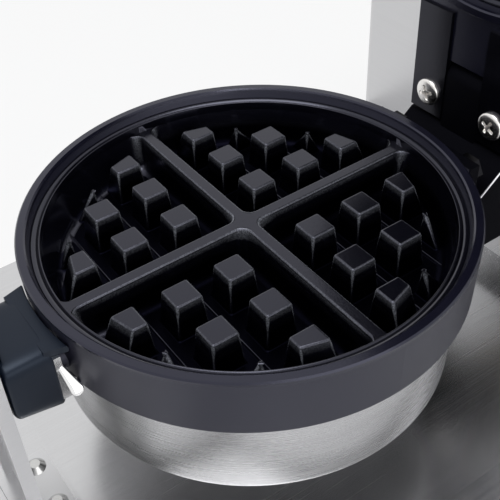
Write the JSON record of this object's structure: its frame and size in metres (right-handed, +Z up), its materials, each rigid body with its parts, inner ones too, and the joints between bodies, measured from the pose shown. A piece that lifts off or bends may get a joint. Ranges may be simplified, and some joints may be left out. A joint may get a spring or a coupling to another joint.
{
  "type": "waffle maker",
  "caption": "Round flip-over waffle maker: hinged cooking head with grid plates, turning on a shaft between a rear tower and a front support over a drip tray, lid open.",
  "frame": {"origin": "on the counter, in the middle of the part's outline from above", "axes": "+Z up, -Y towards the handle and the user, +X to the user's right"},
  "size_m": [0.359, 0.5716, 0.5444],
  "materials": {
    "cast_black": "black coated casting, satin",
    "nonstick": "cast, non-stick coated, satin",
    "steel": "brushed",
    "bright": "polished",
    "fastener": "plated",
    "frame_steel": "grey painted",
    "handle": "moulded, matte",
    "black_plastic": "moulded",
    "rubber": "matte",
    "bush": "machined",
    "heater": "heat tinted",
    "lamp_red": "translucent",
    "lamp_green": "translucent",
    "rocker": "translucent"
  },
  "bodies": {
    "base": {"base_pan": "steel", "bottom_plate": "frame_steel", "feet": "rubber", "foot_screws": "fastener", "tray_runners": "frame_steel", "front_support": "steel", "support_screws": "fastener", "tower_shell": "steel", "rear_cover": "steel", "rear_cover_screws": "fastener", "pillar": "frame_steel", "bearing_housing": "frame_steel", "bearing_bushes": "bush", "housing_bolts": "fastener", "thermostat_body": "black_plastic", "timer_body": "black_plastic", "switch_body": "black_plastic", "power_lamp": "lamp_red", "ready_lamp": "lamp_green", "terminal_block": "black_plastic", "cable_gland": "black_plastic"},
    "head": {"lower_collar": "cast_black", "lower_plate": "nonstick", "lower_heater": "heater", "lower_shield": "fastener", "lower_bowl": "steel", "lower_stud": "fastener", "lower_nut": "bright", "lower_sensor": "fastener", "lower_handle": "handle", "lower_bracket": "bright", "lower_handle_screws": "fastener", "hinge_yoke": "cast_black", "yoke_bolts": "fastener", "hinge_bushes": "bush", "shaft": "fastener", "shaft_pin": "fastener", "shaft_collar": "fastener"},
    "lid": {"lid_collar": "cast_black", "lid_plate": "nonstick", "lid_heater": "heater", "lid_shield": "fastener", "lid_bowl": "steel", "lid_stud": "fastener", "lid_nut": "bright", "lid_cutout": "black_plastic", "lid_handle": "handle", "lid_bracket": "bright", "lid_handle_screws": "fastener", "lid_arm_left": "cast_black", "lid_arm_right": "cast_black", "arm_bolts": "fastener", "arm_screws": "bright", "stop_bar": "cast_black", "hinge_pin": "fastener", "pin_clip": "fastener"},
    "tray": {"drip_tray": "steel"},
    "thermostat": {"thermostat_knob": "black_plastic"},
    "timer": {"timer_knob": "black_plastic"},
    "rocker": {"power_rocker": "rocker"}
  },
  "joints": [
    {"name": "head_turn", "type": "hinge", "parent": "base", "child": "head", "pos_m": [0, -0.0433, 0.157], "axis": [0, 1, 0], "range_deg": [-90, 90]},
    {"name": "lid_hinge", "type": "hinge", "parent": "head", "child": "lid", "pos_m": [0, 0.0933, 0.1653], "axis": [1, 0, 0], "range_deg": [0, 90]},
    {"name": "tray_slide", "type": "slide", "parent": "base", "child": "tray", "axis": [0, -1, 0], "range_m": [0, 0.2]},
    {"name": "thermostat_turn", "type": "hinge", "parent": "base", "child": "thermostat", "pos_m": [0.156, 0.2153, 0.19], "axis": [-1, 0, 0], "range_deg": [0, 270]},
    {"name": "timer_turn", "type": "hinge", "parent": "base", "child": "timer", "pos_m": [-0.156, 0.2153, 0.19], "axis": [1, 0, 0], "range_deg": [0, 300]},
    {"name": "power_tip", "type": "hinge", "parent": "base", "child": "rocker", "pos_m": [0.154, 0.2153, 0.122], "axis": [0, -1, 0], "range_deg": [0, 16]}
  ]
}
